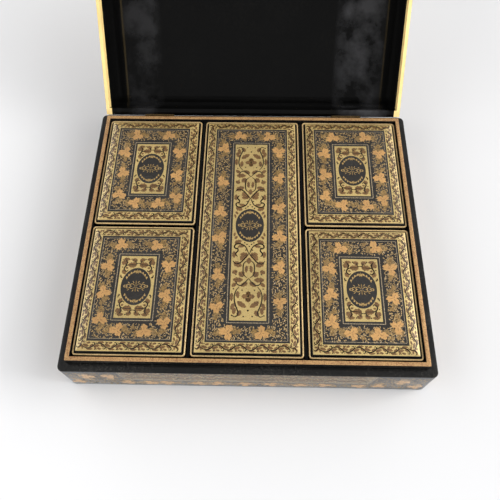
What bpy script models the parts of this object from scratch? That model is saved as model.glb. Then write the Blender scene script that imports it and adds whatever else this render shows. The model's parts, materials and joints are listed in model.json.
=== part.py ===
"""A lacquered games box, standing open, with five lidded boxes in its base.

The base is a mitred carcass with a floor and an inner lining. The lining stands above the carcass as a lip,
and the lid closes over it on the ledge outside. Two partitions part the three columns of inner boxes. The lid
is a shallow tray hinged at the back on two butt hinges, whose barrels are let into the boards, and it is
modelled at its open stop.

Metres, +Z up. The origin is on the table under the middle of the base, with the front towards -Y.
"""

import math

import bmesh
import bpy

# Base
BASE_WIDTH = 0.378
BASE_DEPTH = 0.328
LEDGE_HEIGHT = 0.050
LEDGE_WIDTH = 0.009
CORNER_RADIUS = 0.006
FLOOR_THICKNESS = 0.007
LIP_RISE = 0.0095
LIP_THICKNESS = 0.004
PARTITION_THICKNESS = 0.0025
PARTITION_DROP = 0.0045

# Lid
LID_WALL = 0.004
LID_PLAY = 0.0005
LID_INSIDE_DEPTH = 0.056
LID_TOP_THICKNESS = 0.008
LID_CORNER_RADIUS = 0.0035
LID_TOP_ROUND = 0.003
OPEN_ANGLE = math.radians(129.0)

# Inner boxes
SIDE_PLAY = 0.0015
PARTITION_PLAY = 0.00125
END_PLAY = 0.0022
ROW_GAP = 0.0036
LONG_END_PLAY = 0.0025
BOX_DROP = 0.0010
BOX_FLOOR = 0.003
BOX_WALL = 0.003
BOX_WALL_SETBACK = 0.0003
BOX_CORNER_RADIUS = 0.0035
BOX_LINER = 0.0015
BOX_LINER_RISE = 0.006
BOX_RIM_HEIGHT = 0.014
BOX_RIM_WALL = 0.0032
BOX_BEAD_WIDTH = 0.0016
BOX_BEAD_ROUND = 0.0007
BOX_GROOVE_DEPTH = 0.0008
BOX_PANEL_THICKNESS = 0.004
BOX_PANEL_RISE = 0.0015
BOX_PANEL_CORNER = 0.0008
BOX_PANEL_CROWN = 0.0018
BOX_PANEL_MARGIN = 0.012

# Hinges
HINGE_FROM_SIDE = 0.072
LEAF_WIDTH = 0.034
LEAF_HEIGHT = 0.015
LEAF_THICKNESS = 0.0012
BARREL_RADIUS = 0.0018
KNUCKLE_COUNT = 3
PIN_RADIUS = 0.0008
PIN_PLAY = 0.00015
PIN_HEAD_RADIUS = 0.0015
PIN_HEAD_LENGTH = 0.0010
SCREW_HEAD_RADIUS = 0.0023
SCREW_SHANK_RADIUS = 0.0011
SCREW_HEAD_DEPTH = 0.0012
SCREW_LENGTH = 0.0065
SCREW_POINT_LENGTH = 0.0012
SCREW_SLOT_WIDTH = 0.0005
SCREW_SLOT_DEPTH = 0.0004
SCREW_ACROSS_SHARE = 0.33
SCREW_ALONG_SHARE = 0.60

# Joints between pieces, and the rounding of edges
JOINT_GAP = 0.0003
EDGE_ROUND = 0.0008
OVERRUN = 0.002
TOLERANCE = 0.000001
ROUND_SEGMENTS = 4
CROWN_STEPS = 3
TURN_STEPS = 20
STEEP_SHARE = 0.5
ROUND_PROFILE_SHARE = 0.5
SHARP_ANGLE = math.radians(30.0)

# Worked out from the sizes above
HALF_TURN = math.pi
QUARTER_TURN = math.pi / 2
BOARD_THICKNESS = LEDGE_WIDTH - JOINT_GAP
LIP_WIDTH = BASE_WIDTH - 2 * LEDGE_WIDTH
LIP_DEPTH = BASE_DEPTH - 2 * LEDGE_WIDTH
LIP_TOP = LEDGE_HEIGHT + LIP_RISE
INSIDE_WIDTH = LIP_WIDTH - 2 * LIP_THICKNESS
INSIDE_DEPTH = LIP_DEPTH - 2 * LIP_THICKNESS
FLOOR_TOP = FLOOR_THICKNESS + JOINT_GAP
PARTITION_PITCH = PARTITION_THICKNESS + 2 * PARTITION_PLAY
BOX_WIDTH = (INSIDE_WIDTH - 2 * SIDE_PLAY - 2 * PARTITION_PITCH) / 3
BOX_DEPTH = (INSIDE_DEPTH - 2 * END_PLAY - ROW_GAP) / 2
LONG_BOX_DEPTH = INSIDE_DEPTH - 2 * LONG_END_PLAY
COLUMN_PITCH = BOX_WIDTH + PARTITION_PITCH
ROW_PITCH = BOX_DEPTH + ROW_GAP
LID_WIDTH = LIP_WIDTH + 2 * (LID_PLAY + LID_WALL)
LID_FRONT = LIP_DEPTH / 2 + LID_PLAY + LID_WALL
LID_BACK = BASE_DEPTH / 2
LID_BACK_WALL = LID_BACK - LIP_DEPTH / 2 - LID_PLAY
LID_LOW = LEDGE_HEIGHT + JOINT_GAP
LID_HIGH = LID_LOW + LID_INSIDE_DEPTH
AXIS_BACK = BASE_DEPTH / 2 + JOINT_GAP
AXIS_HEIGHT = LEDGE_HEIGHT + JOINT_GAP / 2

# Colour, roughness and metallic value of each finish
BLACK_LACQUER = ((0.012, 0.011, 0.010), 0.22, 0.0)
DECORATED_LACQUER = ((0.16, 0.12, 0.06), 0.35, 0.3)
GILT = ((0.62, 0.44, 0.19), 0.38, 0.7)
PALE_GILT = ((0.60, 0.50, 0.26), 0.40, 0.5)
BARE_WOOD = ((0.25, 0.16, 0.09), 0.60, 0.0)
BRASS = ((0.62, 0.46, 0.20), 0.30, 1.0)


def clear_scene():
    for obj in list(bpy.data.objects):
        bpy.data.objects.remove(obj, do_unlink=True)


def new_collection(name):
    collection = bpy.data.collections.new(name)
    bpy.context.scene.collection.children.link(collection)
    return collection


def new_empty(name, location, parent=None):
    empty = bpy.data.objects.new(name, None)
    empty.location = location
    empty.parent = parent
    parts.objects.link(empty)
    return empty


def finish(obj, look):
    """Gives the object a Principled material of its own."""
    colour, roughness, metallic = look
    material = bpy.data.materials.new(obj.name + "_finish")
    material.use_nodes = True
    shader = material.node_tree.nodes["Principled BSDF"]
    shader.inputs["Base Color"].default_value = (*colour, 1.0)
    shader.inputs["Roughness"].default_value = roughness
    shader.inputs["Metallic"].default_value = metallic
    obj.data.materials.append(material)


def object_of(name, bm, location, turn, parent, look):
    """Turns the bmesh into an object, a part with a finish or, with no look, a hidden cutter."""
    bmesh.ops.recalc_face_normals(bm, faces=bm.faces)
    mesh = bpy.data.meshes.new(name)
    bm.to_mesh(mesh)
    bm.free()
    obj = bpy.data.objects.new(name, mesh)
    obj.location = location
    obj.rotation_euler = turn
    obj.parent = parent
    if look is None:
        cutters.objects.link(obj)
        obj.hide_render = True
        obj.display_type = "WIRE"
    else:
        parts.objects.link(obj)
        finish(obj, look)
    return obj


def combine(obj, tool, operation="DIFFERENCE"):
    modifier = obj.modifiers.new(tool.name, "BOOLEAN")
    modifier.object = tool
    modifier.operation = operation
    modifier.solver = "EXACT"


def box_mesh(size):
    bm = bmesh.new()
    bmesh.ops.create_cube(bm, size=1.0)
    bmesh.ops.scale(bm, vec=size, verts=bm.verts)
    return bm


def round_edges(bm, edges, radius):
    if radius > 0:
        bmesh.ops.bevel(
            bm, geom=edges, offset=radius, segments=ROUND_SEGMENTS, profile=ROUND_PROFILE_SHARE,
            affect="EDGES", clamp_overlap=True,
        )


def upright_edges(bm, chosen=lambda x, y: True):
    """The vertical edges whose place in plan is chosen."""
    found = []
    for edge in bm.edges:
        first, second = (vertex.co for vertex in edge.verts)
        if (first - second).xy.length < abs(first.z - second.z) and chosen(first.x, first.y):
            found.append(edge)
    return found


def outline_edges(bm, height):
    """The edges of the flat face at this height."""
    return [
        edge
        for edge in bm.edges
        if all(abs(vertex.co.z - height) < TOLERANCE for vertex in edge.verts)
        and any(abs(face.normal.z) < STEEP_SHARE for face in edge.link_faces)
    ]


def slab(name, width, depth, low, high, look, corner=0.0, top_round=0.0, centre=(0.0, 0.0), parent=None):
    """A board with upright corners rounded in plan, and its top edge rounded."""
    height = high - low
    bm = box_mesh((width, depth, height))
    round_edges(bm, upright_edges(bm), corner)
    bm.normal_update()
    round_edges(bm, outline_edges(bm, height / 2), top_round)
    return object_of(name, bm, (*centre, (low + high) / 2), (0.0, 0.0, 0.0), parent, look)


def crowned_slab(name, width, depth, low, high, crown, margin, look, corner, parent):
    """A board whose top rises from its edge, in a rounded margin, to a flat middle."""
    height = high - low
    bm = box_mesh((width, depth, height))
    bm.normal_update()
    top = max(bm.faces, key=lambda face: face.calc_center_median().z)
    level = 0.0
    for step in range(CROWN_STEPS):
        reached = crown * math.sin(QUARTER_TURN * (step + 1) / CROWN_STEPS)
        bmesh.ops.inset_region(bm, faces=[top], thickness=margin / CROWN_STEPS, depth=reached - level)
        level = reached
    round_edges(bm, upright_edges(bm), corner)
    return object_of(name, bm, (0.0, 0.0, (low + high) / 2), (0.0, 0.0, 0.0), parent, look)


def frame(name, width, depth, wall, low, high, look, corner, top_round=0.0, centre=(0.0, 0.0), parent=None):
    """A closed ring of one wall thickness, rounded in plan at its corners."""
    ring = slab(name, width, depth, low, high, look, corner, top_round, centre, parent)
    inner = max(corner - wall, 0.0)
    opening = slab(
        name + "_opening", width - 2 * wall, depth - 2 * wall, low - OVERRUN, high + OVERRUN, None, inner,
        0.0, centre, parent,
    )
    combine(ring, opening)
    return ring


def mitred_board(name, length, thickness, low, high, place, turn, look, ends, corner, parent=None):
    """A board whose ends are mitred to neighbours of the two thicknesses in ends.

    It is made with its outer face towards -Y, then turned about Z to its side of the box. The mitre planes pass
    from the outer corner of the box to its inner one, half a joint gap short of them.
    """
    height = high - low
    bm = box_mesh((length, thickness, height))
    round_edges(bm, upright_edges(bm, lambda x, y: y < 0), corner)
    bm.normal_update()
    outer_rims = [
        edge
        for level in (-height / 2, height / 2)
        for edge in outline_edges(bm, level)
        if all(vertex.co.y < thickness / 2 - TOLERANCE for vertex in edge.verts)
    ]
    round_edges(bm, outer_rims, EDGE_ROUND)
    for side, neighbour in zip((-1.0, 1.0), ends):
        reach = math.hypot(neighbour, thickness)
        normal = (side * thickness / reach, neighbour / reach, 0.0)
        corner_point = (
            side * length / 2 - normal[0] * JOINT_GAP / 2,
            -thickness / 2 - normal[1] * JOINT_GAP / 2,
            0.0,
        )
        whole = bm.verts[:] + bm.edges[:] + bm.faces[:]
        cut = bmesh.ops.bisect_plane(
            bm, geom=whole, dist=TOLERANCE, plane_co=corner_point, plane_no=normal, clear_outer=True
        )
        rim = [item for item in cut["geom_cut"] if isinstance(item, bmesh.types.BMEdge)]
        bmesh.ops.contextual_create(bm, geom=rim)
    return object_of(name, bm, (*place, (low + high) / 2), (0.0, 0.0, turn), parent, look)


def mitred_frame(
    prefix, suffix, width, front, back, walls, low, high, corner, look, lift=(0.0, 0.0), parent=None
):
    """Four mitred boards around a rectangle from -front to +back, as a dict by side.

    walls gives the thickness of the sides, the front and the back. lift is taken off the places, for a parent.
    """
    side_wall, front_wall, back_wall = walls
    middle = (back - front) / 2
    depth = front + back
    plan = {
        "front": (width, front_wall, (0.0, -front + front_wall / 2), 0.0, (side_wall, side_wall)),
        "back": (width, back_wall, (0.0, back - back_wall / 2), HALF_TURN, (side_wall, side_wall)),
        "left": (depth, side_wall, (side_wall / 2 - width / 2, middle), -QUARTER_TURN, (back_wall, front_wall)),
        "right": (depth, side_wall, (width / 2 - side_wall / 2, middle), QUARTER_TURN, (front_wall, back_wall)),
    }
    boards = {}
    for side, (length, thickness, (x, y), turn, ends) in plan.items():
        place = (x, y - lift[0])
        boards[side] = mitred_board(
            f"{prefix}_{side}{suffix}", length, thickness, low - lift[1], high - lift[1], place, turn,
            look, ends, corner, parent,
        )
    return boards


def cylinder_along_x(name, radius, length, centre_x, parent):
    """A helper for the hinge barrels and their bores."""
    bm = bmesh.new()
    bmesh.ops.create_cone(
        bm, cap_ends=True, segments=TURN_STEPS, radius1=radius, radius2=radius, depth=length
    )
    return object_of(name, bm, (centre_x, 0.0, 0.0), (0.0, QUARTER_TURN, 0.0), parent, None)


def turned(name, profile, location, turn, parent, look):
    """A profile of (radius, height) points, from the top down, spun about the object's Z axis."""
    bm = bmesh.new()
    points = [bm.verts.new((radius, 0.0, height)) for radius, height in profile]
    for first, second in zip(points, points[1:]):
        bm.edges.new((first, second))
    obj = object_of(name, bm, location, turn, parent, look)
    spin = obj.modifiers.new("turn", "SCREW")
    spin.steps = TURN_STEPS
    spin.render_steps = TURN_STEPS
    spin.use_merge_vertices = True
    spin.merge_threshold = JOINT_GAP / 10
    spin.use_smooth_shade = True
    return obj


def base():
    """The floor, the carcass round it, the lining that stands on it as a lip, and the partitions."""
    slab("base_floor_board", LIP_WIDTH - JOINT_GAP, LIP_DEPTH - JOINT_GAP, 0.0, FLOOR_THICKNESS, BARE_WOOD)
    carcass = mitred_frame(
        "base", "_board", BASE_WIDTH, BASE_DEPTH / 2, BASE_DEPTH / 2, (BOARD_THICKNESS,) * 3, 0.0, LEDGE_HEIGHT,
        CORNER_RADIUS, DECORATED_LACQUER,
    )
    mitred_frame(
        "lip", "", LIP_WIDTH, LIP_DEPTH / 2, LIP_DEPTH / 2, (LIP_THICKNESS,) * 3, FLOOR_TOP, LIP_TOP,
        EDGE_ROUND, GILT,
    )
    for side, name in ((-1, "partition_left"), (1, "partition_right")):
        slab(
            name, PARTITION_THICKNESS, INSIDE_DEPTH - 2 * JOINT_GAP, FLOOR_TOP, LIP_TOP - PARTITION_DROP,
            BLACK_LACQUER, centre=(side * COLUMN_PITCH / 2, 0.0),
        )
    return carcass


def lid(axis):
    """The lid's boards and top, placed closed and from the hinge axis, which then turns them open."""
    lift = (AXIS_BACK, AXIS_HEIGHT)
    boards = mitred_frame(
        "lid", "_board", LID_WIDTH, LID_FRONT, LID_BACK, (LID_WALL, LID_WALL, LID_BACK_WALL), LID_LOW, LID_HIGH,
        LID_CORNER_RADIUS, DECORATED_LACQUER, lift, axis,
    )
    low = LID_HIGH + JOINT_GAP - AXIS_HEIGHT
    slab(
        "lid_top_panel", LID_WIDTH, LID_FRONT + LID_BACK, low, low + LID_TOP_THICKNESS, BLACK_LACQUER,
        LID_CORNER_RADIUS, LID_TOP_ROUND, (0.0, (LID_BACK - LID_FRONT) / 2 - AXIS_BACK), axis,
    )
    return boards


def hinge_leaf(name, upward, own_knuckles, place, board):
    """One leaf: a plate let into the back face, its knuckles round the axis, and two countersunk screws.

    The plate lies in a shallow pocket of its board, and the knuckles and the pin in a round recess.
    """
    knuckle = LEAF_WIDTH / KNUCKLE_COUNT
    bm = box_mesh((LEAF_WIDTH, LEAF_THICKNESS, LEAF_HEIGHT))
    plate_place = (0.0, 0.0, upward * (JOINT_GAP + LEAF_HEIGHT) / 2)
    leaf = object_of(name, bm, plate_place, (0.0, 0.0, 0.0), place, BRASS)
    for index in range(KNUCKLE_COUNT):
        centre_x = (index - (KNUCKLE_COUNT - 1) / 2) * knuckle
        if index in own_knuckles:
            barrel = cylinder_along_x(
                f"{name}_barrel_{index}", BARREL_RADIUS, knuckle - JOINT_GAP, centre_x, place
            )
            combine(leaf, barrel, "UNION")
        else:
            room = cylinder_along_x(
                f"{name}_room_{index}", BARREL_RADIUS + JOINT_GAP, knuckle + JOINT_GAP, centre_x, place
            )
            combine(leaf, room)
    bore = cylinder_along_x(name + "_bore", PIN_RADIUS + PIN_PLAY, LEAF_WIDTH + 2 * OVERRUN, 0.0, place)
    combine(leaf, bore)
    recess_length = LEAF_WIDTH + 2 * (PIN_HEAD_LENGTH + 2 * JOINT_GAP)
    recess = cylinder_along_x(name + "_recess", BARREL_RADIUS + JOINT_GAP, recess_length, 0.0, place)
    combine(board, recess)
    pocket_size = [size + 2 * JOINT_GAP for size in (LEAF_WIDTH, LEAF_THICKNESS, LEAF_HEIGHT)]
    pocket = object_of(name + "_pocket", box_mesh(pocket_size), plate_place, (0.0, 0.0, 0.0), place, None)
    combine(board, pocket)
    for letter, side in (("a", -1), ("b", 1)):
        seat = (
            side * SCREW_ACROSS_SHARE * LEAF_WIDTH,
            LEAF_THICKNESS / 2,
            upward * SCREW_ALONG_SHARE * LEAF_HEIGHT,
        )
        screw(f"{name.replace('_leaf', '_screw')}_{letter}", seat, place, leaf, board)
    return leaf


def screw(name, seat, place, leaf, board):
    """A slotted countersunk wood screw, and the hole that it takes in the leaf and the board behind it."""
    turn = (-QUARTER_TURN, 0.0, 0.0)
    body = turned(
        name,
        [
            (0.0, 0.0),
            (SCREW_HEAD_RADIUS, 0.0),
            (SCREW_SHANK_RADIUS, -SCREW_HEAD_DEPTH),
            (SCREW_SHANK_RADIUS, -SCREW_LENGTH + SCREW_POINT_LENGTH),
            (0.0, -SCREW_LENGTH),
        ],
        seat, turn, place, BRASS,
    )
    slot_mesh = box_mesh((2 * SCREW_HEAD_RADIUS + OVERRUN, SCREW_SLOT_WIDTH, 2 * SCREW_SLOT_DEPTH))
    slot = object_of(name + "_slot", slot_mesh, seat, turn, place, None)
    combine(body, slot)
    hole = turned(
        name + "_hole",
        [
            (0.0, OVERRUN),
            (SCREW_HEAD_RADIUS + JOINT_GAP, OVERRUN),
            (SCREW_HEAD_RADIUS + JOINT_GAP, 0.0),
            (SCREW_SHANK_RADIUS + JOINT_GAP, -SCREW_HEAD_DEPTH),
            (SCREW_SHANK_RADIUS + JOINT_GAP, -SCREW_LENGTH + SCREW_POINT_LENGTH),
            (0.0, -SCREW_LENGTH - JOINT_GAP),
        ],
        seat, turn, place, None,
    )
    combine(leaf, hole)
    combine(board, hole)


def hinge(side_name, side, axis, base_board, lid_board):
    """A butt hinge: the outer knuckles on the base leaf, the others on the lid leaf, and a headed pin."""
    x = side * (BASE_WIDTH / 2 - HINGE_FROM_SIDE)
    fixed = new_empty(f"hinge_{side_name}_fixed", (x, AXIS_BACK, AXIS_HEIGHT))
    moving = new_empty(f"hinge_{side_name}_moving", (x, 0.0, 0.0), axis)
    outer = tuple(range(0, KNUCKLE_COUNT, 2))
    inner = tuple(range(1, KNUCKLE_COUNT, 2))
    hinge_leaf(f"hinge_{side_name}_base_leaf", -1, outer, fixed, base_board)
    hinge_leaf(f"hinge_{side_name}_lid_leaf", 1, inner, moving, lid_board)
    half = LEAF_WIDTH / 2
    turned(
        f"hinge_{side_name}_pin",
        [
            (0.0, half + JOINT_GAP + PIN_HEAD_LENGTH),
            (PIN_HEAD_RADIUS, half + JOINT_GAP + PIN_HEAD_LENGTH),
            (PIN_HEAD_RADIUS, half + JOINT_GAP),
            (PIN_RADIUS, half + JOINT_GAP),
            (PIN_RADIUS, -half - JOINT_GAP),
            (PIN_HEAD_RADIUS, -half - JOINT_GAP),
            (PIN_HEAD_RADIUS, -half - JOINT_GAP - PIN_HEAD_LENGTH),
            (0.0, -half - JOINT_GAP - PIN_HEAD_LENGTH),
        ],
        (0.0, 0.0, 0.0), (0.0, QUARTER_TURN, 0.0), fixed, BRASS,
    )


def inner_box(name, centre, depth):
    """A lidded box standing on the base's floor: floor, walls and liner, with the lid's rim and panel."""
    stand = new_empty(name, (*centre, FLOOR_TOP))
    bead_top = LIP_TOP - BOX_DROP - BOX_PANEL_RISE - FLOOR_TOP
    rim_low = bead_top - BOX_RIM_HEIGHT
    wall_top = rim_low - JOINT_GAP
    wall_low = BOX_FLOOR + JOINT_GAP
    width_in = BOX_WIDTH - 2 * BOX_WALL_SETBACK
    depth_in = depth - 2 * BOX_WALL_SETBACK
    liner_inset = BOX_WALL_SETBACK + BOX_WALL + JOINT_GAP
    slab(name + "_floor", width_in, depth_in, 0.0, BOX_FLOOR, BARE_WOOD, BOX_CORNER_RADIUS, parent=stand)
    frame(
        name + "_walls", width_in, depth_in, BOX_WALL, wall_low, wall_top, BLACK_LACQUER, BOX_CORNER_RADIUS,
        parent=stand,
    )
    frame(
        name + "_liner", BOX_WIDTH - 2 * liner_inset, depth - 2 * liner_inset, BOX_LINER, wall_low,
        wall_top + BOX_LINER_RISE, GILT, EDGE_ROUND, parent=stand,
    )
    lid_place = new_empty(name + "_lid", (0.0, 0.0, rim_low), stand)
    rim = frame(
        name + "_lid_rim", BOX_WIDTH, depth, BOX_RIM_WALL, 0.0, BOX_RIM_HEIGHT, GILT, BOX_CORNER_RADIUS,
        BOX_BEAD_ROUND, parent=lid_place,
    )
    groove = slab(
        name + "_groove", BOX_WIDTH - 2 * BOX_BEAD_WIDTH, depth - 2 * BOX_BEAD_WIDTH,
        BOX_RIM_HEIGHT - BOX_GROOVE_DEPTH, BOX_RIM_HEIGHT + OVERRUN, None,
        BOX_CORNER_RADIUS - BOX_BEAD_WIDTH, parent=lid_place,
    )
    combine(rim, groove)
    panel_inset = BOX_RIM_WALL + JOINT_GAP
    panel_top = BOX_RIM_HEIGHT + BOX_PANEL_RISE
    crowned_slab(
        name + "_lid_panel", BOX_WIDTH - 2 * panel_inset, depth - 2 * panel_inset,
        panel_top - BOX_PANEL_THICKNESS, panel_top, BOX_PANEL_CROWN, BOX_PANEL_MARGIN, PALE_GILT,
        BOX_PANEL_CORNER, lid_place,
    )


def shade():
    """Smooth shading on the turned and rounded pieces, sharp at their real edges."""
    for obj in parts.objects:
        if obj.type == "MESH" and obj.data.polygons:
            obj.data.shade_smooth()
            obj.data.set_sharp_from_angle(angle=SHARP_ANGLE)


clear_scene()
parts = new_collection("games_box")
cutters = new_collection("games_box_cutters")

base_boards = base()
hinge_axis = new_empty("lid_hinge_axis", (0.0, AXIS_BACK, AXIS_HEIGHT))
lid_boards = lid(hinge_axis)
hinge("left", -1, hinge_axis, base_boards["back"], lid_boards["back"])
hinge("right", 1, hinge_axis, base_boards["back"], lid_boards["back"])
hinge_axis.rotation_euler.x = -OPEN_ANGLE

for column, side in (("left", -1), ("right", 1)):
    for row, end in (("back", 1), ("front", -1)):
        inner_box(f"{row}_{column}_box", (side * COLUMN_PITCH, end * ROW_PITCH / 2), BOX_DEPTH)
inner_box("long_box", (0.0, 0.0), LONG_BOX_DEPTH)
shade()
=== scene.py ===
# %% [markdown]
# # A lacquered games box with gilt ornament
# The real thing is a shallow wooden box, japanned black and drawn over in several golds. It stands open: five
# small lidded boxes fill the base, and each lid is a cushioned panel with a pale gold border, a band of vine
# leaves on black and a pale centre round a dark medallion.
#
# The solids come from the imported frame. This script gives them their finish, and adds what is too fine for
# them: the beads, the gilding and every leaf and scroll, as low relief that lies on the lacquer.

# %% Load the frame
import json
import math

import bpy
import numpy as np
from mathutils import Matrix


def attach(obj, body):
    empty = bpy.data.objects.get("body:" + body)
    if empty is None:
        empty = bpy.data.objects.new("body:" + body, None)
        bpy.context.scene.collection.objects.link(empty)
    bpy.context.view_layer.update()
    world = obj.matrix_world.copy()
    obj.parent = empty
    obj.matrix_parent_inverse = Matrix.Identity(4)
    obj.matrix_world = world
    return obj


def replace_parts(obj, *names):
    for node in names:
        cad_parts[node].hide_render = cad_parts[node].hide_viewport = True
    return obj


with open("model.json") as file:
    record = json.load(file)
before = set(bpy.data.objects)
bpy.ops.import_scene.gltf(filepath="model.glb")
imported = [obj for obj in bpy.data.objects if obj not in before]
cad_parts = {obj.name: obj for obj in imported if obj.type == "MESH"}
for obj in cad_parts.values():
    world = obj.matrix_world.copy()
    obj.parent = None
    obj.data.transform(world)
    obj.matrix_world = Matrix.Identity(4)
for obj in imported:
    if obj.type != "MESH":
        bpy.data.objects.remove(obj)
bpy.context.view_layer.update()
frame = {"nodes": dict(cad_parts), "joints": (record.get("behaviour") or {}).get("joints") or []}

# %% [markdown]
# ## Sizes that come from the solids
# Ornament is easiest to think of in millimetres, as the painter would, so sizes are read from the frame and
# turned into millimetres here. The lid was made shut and then opened, so its boards are turned back about the
# hinge before they are measured, and every piece made for it is opened again in the same way.

# %% Read sizes in millimetres
MM = 0.001
BOXES = ("back_left_box", "front_left_box", "long_box", "back_right_box", "front_right_box")
HINGE = frame["joints"][0]
HINGE_PLACE = np.array(HINGE["pos_m"]) / MM
OPENING = math.radians(-HINGE["range_deg"][0])


def turned_about_hinge(points, angle):
    """Points turned about the hinge line, the way the lid opens: y and z, taken from the line, become
    y cos + z sin and z cos - y sin."""
    y, z = (points - HINGE_PLACE)[..., 1], (points - HINGE_PLACE)[..., 2]
    away_y = y * math.cos(angle) + z * math.sin(angle)
    away_z = z * math.cos(angle) - y * math.sin(angle)
    return np.stack([points[..., 0], away_y + HINGE_PLACE[1], away_z + HINGE_PLACE[2]], axis=-1)


def opened(points):
    return turned_about_hinge(points, OPENING)


def span(node, shut=False):
    """Lowest and highest corner of a solid in millimetres, for a lid board as it lies when the lid is shut."""
    vertices = frame["nodes"][node].data.vertices
    points = np.empty(len(vertices) * 3)
    vertices.foreach_get("co", points)
    points = points.reshape(-1, 3) / MM
    points = turned_about_hinge(points, -OPENING) if shut else points
    return points.min(axis=0), points.max(axis=0)


for node in ("base_front_board", "lip_front", "long_box_lid_rim", "long_box_lid_panel"):
    print(node, *(np.round(corner, 2) for corner in span(node)))
print("lid_front_board, shut", *(np.round(corner, 2) for corner in span("lid_front_board", shut=True)))
print("lid_top_panel, shut", *(np.round(corner, 2) for corner in span("lid_top_panel", shut=True)))

# %% [markdown]
# ## Building materials out of nodes
# A material here is a Principled shader with a few textures in front of it. Short helpers keep the node code
# readable: one adds a node and plugs it in, one starts a node group, and the rest stand for the nodes used most.

# %% Node helpers
def paint(red, green, blue):
    """A colour as a screen shows it, 0 to 255 each, made linear: ((c + 0.055) / 1.055) to the power 2.4."""
    shown = np.array([red, green, blue]) / 255
    linear = np.where(shown <= 0.04045, shown / 12.92, ((shown + 0.055) / 1.055) ** 2.4)
    return (*linear.tolist(), 1.0)


def add(tree, kind, inputs=(), **settings):
    """One node. Its inputs are given by socket name or number, as a value or as another node's output."""
    node = tree.nodes.new(kind)
    for name, value in settings.items():
        setattr(node, name, value)
    for socket, value in dict(inputs).items():
        if isinstance(value, bpy.types.NodeSocket):
            tree.links.new(value, node.inputs[socket])
        else:
            node.inputs[socket].default_value = value
    return node


def new_group(name, inputs, outputs):
    """An empty node group, and its input and output sockets. Each socket is a name, a kind and a start value."""
    group = bpy.data.node_groups.new(name, "ShaderNodeTree")
    for side, sockets in (("INPUT", inputs), ("OUTPUT", outputs)):
        for label, kind, value in sockets:
            socket = group.interface.new_socket(label, in_out=side, socket_type="NodeSocket" + kind)
            socket.default_value = value
    return group, group.nodes.new("NodeGroupInput").outputs, group.nodes.new("NodeGroupOutput").inputs


def connect(tree, links):
    for output, target in links:
        tree.links.new(output, target)


def object_place(tree):
    return add(tree, "ShaderNodeTexCoord").outputs["Object"]


def noise(tree, place, scale, detail, roughness=0.5):
    inputs = {"Vector": place, "Scale": scale, "Detail": detail, "Roughness": roughness}
    return add(tree, "ShaderNodeTexNoise", inputs).outputs["Fac"]


def rescaled(tree, value, *limits, **settings):
    """A value carried from between the first two limits to between the last two, and held at the ends."""
    return add(tree, "ShaderNodeMapRange", enumerate((value, *limits)), **settings).outputs[0]


def reckoned(tree, operation, first, second=0.0, clamp=False):
    return add(tree, "ShaderNodeMath", {0: first, 1: second}, operation=operation, use_clamp=clamp).outputs[0]


def blended(tree, share, first, second):
    return add(tree, "ShaderNodeMix", {0: share, 6: first, 7: second}, data_type="RGBA").outputs[2]


# %% [markdown]
# ## What age does to the surface
# Gold that has been handled for a century isn't even: broad patches are duller, and fine specks have rubbed
# through to the brown size beneath. Black lacquer picks up dust and a slight waviness. Both effects are used in
# many materials, so each is a node group that gives colours, masks and heights only.

# %% Rubbed gold
WHITE = (1.0, 1.0, 1.0, 1.0)
BLACK = (0.0, 0.0, 0.0, 1.0)


def rubbed_gold():
    """Fresh gold, dulled in broad patches, with specks where fine noise passes a limit that wear lowers."""
    group, given, made = new_group(
        "Rubbed gold",
        (("Fresh", "Color", WHITE), ("Rubbed", "Color", BLACK), ("Wear", "Float", 0.3)),
        (("Color", "Color", WHITE), ("Roughness", "Float", 0.5), ("Height", "Float", 0.0)),
    )
    place = object_place(group)
    specks = noise(group, place, 900.0, 4.0, 0.7)
    dull = rescaled(group, noise(group, place, 28.0, 3.0), 0.3, 0.7, 1.12, 0.84)
    through = reckoned(group, "SUBTRACT", specks, reckoned(group, "SUBTRACT", 0.80, given["Wear"]))
    soft = reckoned(group, "MULTIPLY", through, 7.0, clamp=True)
    shaded = add(group, "ShaderNodeVectorMath", {0: given["Fresh"], "Scale": dull}, operation="SCALE").outputs[0]
    connect(group, ((blended(group, soft, shaded, given["Rubbed"]), made["Color"]),
                    (rescaled(group, specks, 0.3, 0.7, 0.40, 0.60), made["Roughness"]),
                    (specks, made["Height"])))
    return group


def dusty_film():
    """Dust that lies thicker in patches, the haze of fine scratches, and the slow waves of brushed lacquer."""
    group, given, made = new_group(
        "Dusty film",
        (("Film", "Color", BLACK), ("Dust", "Color", WHITE), ("Amount", "Float", 0.1), ("Haze", "Float", 0.2)),
        (("Color", "Color", BLACK), ("Roughness", "Float", 0.2), ("Height", "Float", 0.0)),
    )
    place = object_place(group)
    grit = rescaled(group, noise(group, place, 420.0, 6.0, 0.75), 0.45, 0.80, 0.0, 1.0)
    patch = rescaled(group, noise(group, place, 22.0, 2.0), 0.3, 0.7, 0.35, 1.4)
    lying = reckoned(group, "MULTIPLY", grit, patch)
    amount = reckoned(group, "MULTIPLY", lying, given["Amount"], clamp=True)
    connect(group, ((blended(group, amount, given["Film"], given["Dust"]), made["Color"]),
                    (reckoned(group, "MULTIPLY", patch, given["Haze"]), made["Roughness"]),
                    (noise(group, place, 60.0, 1.0), made["Height"])))
    return group


RUBBED_GOLD = rubbed_gold()
DUSTY_FILM = dusty_film()
print("node groups:", RUBBED_GOLD.name, "and", DUSTY_FILM.name)

# %% Materials
def new_material(name):
    """A material with its shader, and the shader node."""
    material = bpy.data.materials.new(name)
    material.use_nodes = True
    return material, material.node_tree, material.node_tree.nodes["Principled BSDF"]


VARNISH = {"Coat Weight": 0.7, "Coat IOR": 1.6, "Coat Roughness": 0.2}
DUST = (120, 116, 108)
WAVINESS = 0.02
# Scuffs inside the lid: start and end across it in metres, and strength.
SCUFFS = ((0.104, 0.172, 0.8), (-0.172, -0.118, 0.35))
SCUFF_GREY = (66, 66, 68)


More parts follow.
